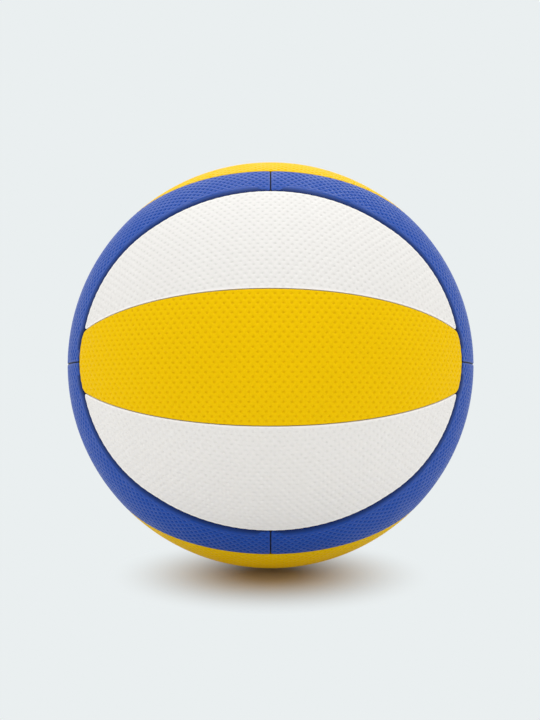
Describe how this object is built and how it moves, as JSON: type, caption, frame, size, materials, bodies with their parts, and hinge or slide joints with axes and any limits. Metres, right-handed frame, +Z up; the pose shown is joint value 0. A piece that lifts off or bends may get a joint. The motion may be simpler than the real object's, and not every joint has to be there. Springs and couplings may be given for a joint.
{
  "type": "volleyball",
  "caption": "Stitched round ball for beach volleyball, with curved white, yellow and blue leather panels, a lining, a rubber bladder and an inflating valve.",
  "frame": {"origin": "the ball's centre", "axes": "+Z up from the point the ball rests on; the pictured face looks toward -Y and lies rolled back by 12 degrees; +X to that face's right; the valve is at the back, 12 degrees below +Y"},
  "size_m": [0.2132, 0.2132, 0.2132],
  "materials": {
    "white_leather": "dimpled synthetic leather, white, semi-matt",
    "yellow_leather": "dimpled synthetic leather, warm yellow, semi-matt",
    "blue_leather": "dimpled synthetic leather, mid blue, semi-matt",
    "lining_cloth": "woven cotton backing on foam, off-white",
    "seam_thread": "twisted polyester thread, dark",
    "bladder_rubber": "butyl rubber, black, satin",
    "valve_rubber": "moulded rubber, dark grey, matt",
    "plug_rubber": "soft moulded rubber, black, matt"
  },
  "bodies": {
    "ball": {"front_upper_white_panel": "white_leather", "front_yellow_panel": "yellow_leather", "front_lower_white_panel": "white_leather", "back_upper_white_panel": "white_leather", "back_yellow_panel": "yellow_leather", "back_lower_white_panel": "white_leather", "top_yellow_panel": "yellow_leather", "bottom_yellow_panel": "yellow_leather", "upper_blue_panel": "blue_leather", "lower_blue_panel": "blue_leather", "front_upper_white_lining": "lining_cloth", "front_yellow_lining": "lining_cloth", "front_lower_white_lining": "lining_cloth", "back_upper_white_lining": "lining_cloth", "back_yellow_lining": "lining_cloth", "back_lower_white_lining": "lining_cloth", "top_yellow_lining": "lining_cloth", "bottom_yellow_lining": "lining_cloth", "upper_blue_lining": "lining_cloth", "lower_blue_lining": "lining_cloth", "front_outline_thread": "seam_thread", "back_outline_thread": "seam_thread", "front_band_thread": "seam_thread", "back_band_thread": "seam_thread", "top_leaf_thread": "seam_thread", "bottom_leaf_thread": "seam_thread", "side_seam_thread": "seam_thread", "slit_seam_thread": "seam_thread", "bladder": "bladder_rubber", "balance_patch": "bladder_rubber", "valve_eyelet": "valve_rubber", "valve_seat": "valve_rubber"},
    "plug": {"valve_plug": "plug_rubber"}
  },
  "joints": [
    {"name": "valve_plug_pull", "type": "slide", "parent": "ball", "child": "plug", "axis": [0, 0.9781, -0.2079], "range_m": [0, 0.018]}
  ]
}
